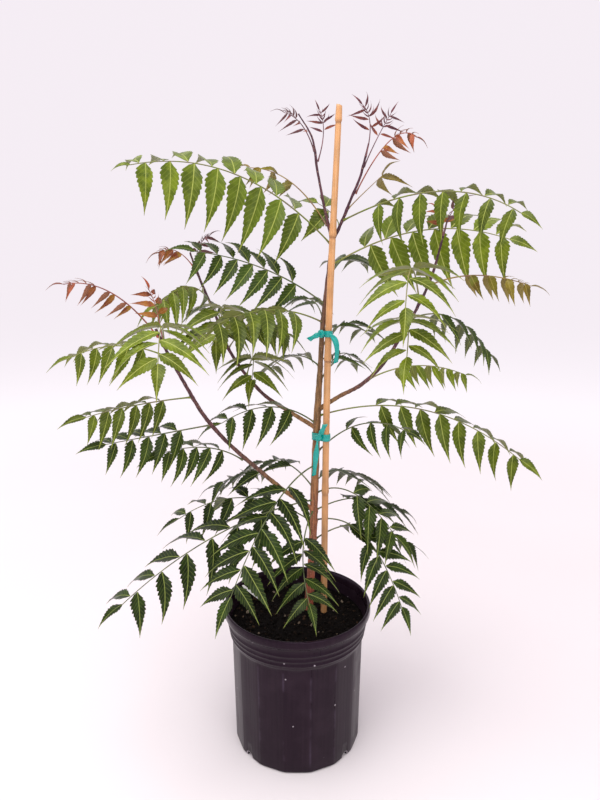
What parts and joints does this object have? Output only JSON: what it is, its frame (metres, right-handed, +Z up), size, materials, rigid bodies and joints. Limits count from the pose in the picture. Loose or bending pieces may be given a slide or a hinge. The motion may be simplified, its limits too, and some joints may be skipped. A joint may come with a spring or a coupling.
{
  "type": "potted neem tree",
  "caption": "Young neem tree in a ribbed black nursery pot: slim trunk, side branches and arching feather-shaped leaves, tied to a bamboo stake with tape, with a blank label in the soil.",
  "frame": {"origin": "centre of the pot's base, on the surface that the pot stands on", "axes": "+Z up along the pot's axis; the side that the picture shows faces -Y, its right is +X"},
  "size_m": [0.6061, 0.4394, 0.9145],
  "materials": {
    "pot_plastic": "black with a satin sheen",
    "soil": "crumbly potting mix",
    "bark": "smooth young bark, rough at the foot",
    "bamboo": "split-free cane with a soft sheen",
    "label_plastic": "blank, satin",
    "tie_tape": "thin stretched film",
    "leaf_deep": "oldest leaves, waxy with a grey sheen",
    "leaf_dark": "old leaves, waxy",
    "leaf_green": "grown leaves, satin",
    "leaf_lime": "fresh leaves, satin",
    "leaf_olive": "young leaves turning from bronze, satin",
    "leaf_bronze": "young leaves, glossy",
    "leaf_red": "youngest shoots, glossy"
  },
  "bodies": {
    "root": {"pot": "pot_plastic", "soil": "soil", "wood": "bark", "stake": "bamboo", "label": "label_plastic", "tie_upper": "tie_tape", "tie_lower": "tie_tape", "leaf_crown_left": "leaf_green", "leaf_crown_left_back": "leaf_olive", "leaf_crown_right": "leaf_green", "leaf_crown_right_low": "leaf_lime", "leaf_crown_middle": "leaf_green", "leaf_crown_right_arch": "leaf_bronze", "leaf_crown_right_slim": "leaf_olive", "leaf_crown_left_tip": "leaf_red", "leaf_crown_left_tip_back": "leaf_red", "leaf_crown_right_tip": "leaf_red", "leaf_crown_right_tip_back": "leaf_red", "leaf_upper_left": "leaf_dark", "leaf_upper_front_left": "leaf_green", "leaf_upper_back_right": "leaf_dark", "leaf_upper_back_left": "leaf_dark", "leaf_middle_back_right": "leaf_dark", "leaf_middle_back_left": "leaf_dark", "leaf_middle_back": "leaf_dark", "leaf_right_bronze": "leaf_olive", "leaf_right_front_high": "leaf_lime", "leaf_right_front_low": "leaf_lime", "leaf_right_dark": "leaf_dark", "leaf_right_slim": "leaf_lime", "leaf_right_tip": "leaf_red", "leaf_right_tip_back": "leaf_bronze", "leaf_middle_left": "leaf_dark", "leaf_right_long": "leaf_green", "leaf_right_inner": "leaf_dark", "leaf_back_bronze": "leaf_bronze", "leaf_back_tip": "leaf_red", "leaf_back_left": "leaf_lime", "leaf_back_front": "leaf_lime", "leaf_back_right": "leaf_green", "leaf_back_inner": "leaf_green", "leaf_back_far": "leaf_dark", "leaf_left_bronze": "leaf_bronze", "leaf_left_tip": "leaf_bronze", "leaf_left_front": "leaf_lime", "leaf_left_high": "leaf_lime", "leaf_left_middle": "leaf_green", "leaf_left_low": "leaf_dark", "leaf_left_deep": "leaf_dark", "leaf_left_inner": "leaf_deep", "leaf_low_left": "leaf_deep", "leaf_low_left_long": "leaf_deep", "leaf_low_front_left": "leaf_deep", "leaf_low_front": "leaf_deep", "leaf_low_right": "leaf_deep", "leaf_low_right_back": "leaf_deep", "leaf_low_right_high": "leaf_dark", "leaf_low_back_right": "leaf_deep", "leaf_low_back": "leaf_deep", "leaf_low_back_left": "leaf_deep"}
  },
  "joints": []
}
